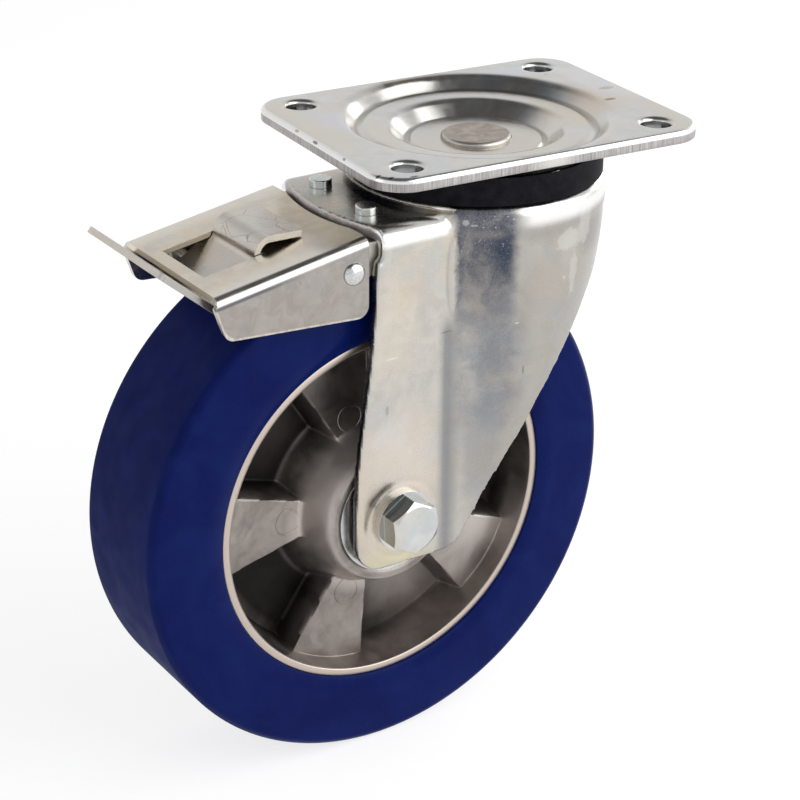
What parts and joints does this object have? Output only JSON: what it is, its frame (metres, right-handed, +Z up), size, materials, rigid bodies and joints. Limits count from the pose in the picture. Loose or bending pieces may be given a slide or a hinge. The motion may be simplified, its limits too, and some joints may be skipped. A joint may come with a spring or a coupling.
{
  "type": "swivel castor",
  "caption": "Swivel castor with a bolt-on top plate, zinc plated fork, foot-operated wheel brake and blue-tyred aluminium wheel.",
  "frame": {"origin": "centre of the top plate's upper face, on the swivel axis and at the centre of the four bolt holes", "axes": "+Z up, normal to the top plate and away from the wheel; +X along the plate's long side, away from the trailing wheel; +Y completes the right-handed frame, along the plate's short side. The fork stands turned 4.13 degrees about +Z, as in the picture"},
  "size_m": [0.2242, 0.106, 0.238],
  "materials": {
    "plate_zinc": "bright zinc plated pressed steel with a faint warm sheen",
    "kingpin_steel": "bare forged steel, slightly browned",
    "race_steel": "hardened pressed steel, oiled",
    "fork_zinc": "satin zinc plated sheet steel with darker grainy patches",
    "ball_steel": "polished bearing steel",
    "seal_rubber": "black rubber, fine grain",
    "bracket_zinc": "zinc plated sheet steel",
    "rivet_zinc": "zinc plated, grainy peened tops",
    "cover_zinc": "satin zinc plated sheet steel with a warm tint",
    "pin_steel": "bright plated steel",
    "lever_zinc": "satin zinc plated sheet steel, bright cut edges",
    "bolt_zinc": "bright zinc plated bolt, nut and washers",
    "bearing_steel": "ground bearing steel",
    "shield_steel": "pressed sheet steel shield",
    "wheel_aluminium": "die-cast aluminium, satin, machined ring",
    "tyre_navy": "glossy dark blue polyurethane"
  },
  "bodies": {
    "plate": {"top_plate": "plate_zinc", "kingpin": "kingpin_steel", "lower_race": "race_steel"},
    "fork": {"fork": "fork_zinc", "upper_balls": "ball_steel", "lower_balls": "ball_steel", "dust_seal": "seal_rubber", "brake_carrier": "bracket_zinc", "crown_rivets": "rivet_zinc", "brake_cover": "cover_zinc", "cover_pin": "pin_steel", "lever_pin": "pin_steel", "axle_bolt": "bolt_zinc", "axle_washers": "bolt_zinc", "axle_nut": "bolt_zinc", "axle_tube": "bearing_steel", "bearing_spacer": "bearing_steel", "side_collars": "bearing_steel", "bearing_inner_left": "bearing_steel", "bearing_inner_right": "bearing_steel"},
    "wheel": {"wheel_centre": "wheel_aluminium", "tyre": "tyre_navy", "bearing_outer_left": "bearing_steel", "bearing_outer_right": "bearing_steel", "bearing_balls_left": "ball_steel", "bearing_balls_right": "ball_steel", "bearing_shield_left": "shield_steel", "bearing_shield_right": "shield_steel"},
    "foot_lever": {"foot_lever": "lever_zinc"},
    "brake_arm": {"brake_arm": "bracket_zinc"}
  },
  "joints": [
    {"name": "swivel", "type": "hinge", "parent": "plate", "child": "fork", "pos_m": [0, 0, 0], "axis": [0, 0, 1], "continuous": true},
    {"name": "wheel_spin", "type": "hinge", "parent": "fork", "child": "wheel", "pos_m": [-0.05486, -0.00396, -0.138], "axis": [-0.072, 0.9974, 0], "continuous": true},
    {"name": "foot_lever", "type": "hinge", "parent": "fork", "child": "foot_lever", "pos_m": [-0.10772, -0.00778, -0.0425], "axis": [0.072, -0.9974, 0], "range_deg": [0, 25]},
    {"name": "brake_arm", "type": "hinge", "parent": "fork", "child": "brake_arm", "pos_m": [-0.0752, -0.00543, -0.0364], "axis": [0.072, -0.9974, 0], "range_deg": [0, 1.6]}
  ],
  "couplings": [
    {"joint": "brake_arm", "follows": "foot_lever", "ratio": 0.064}
  ]
}
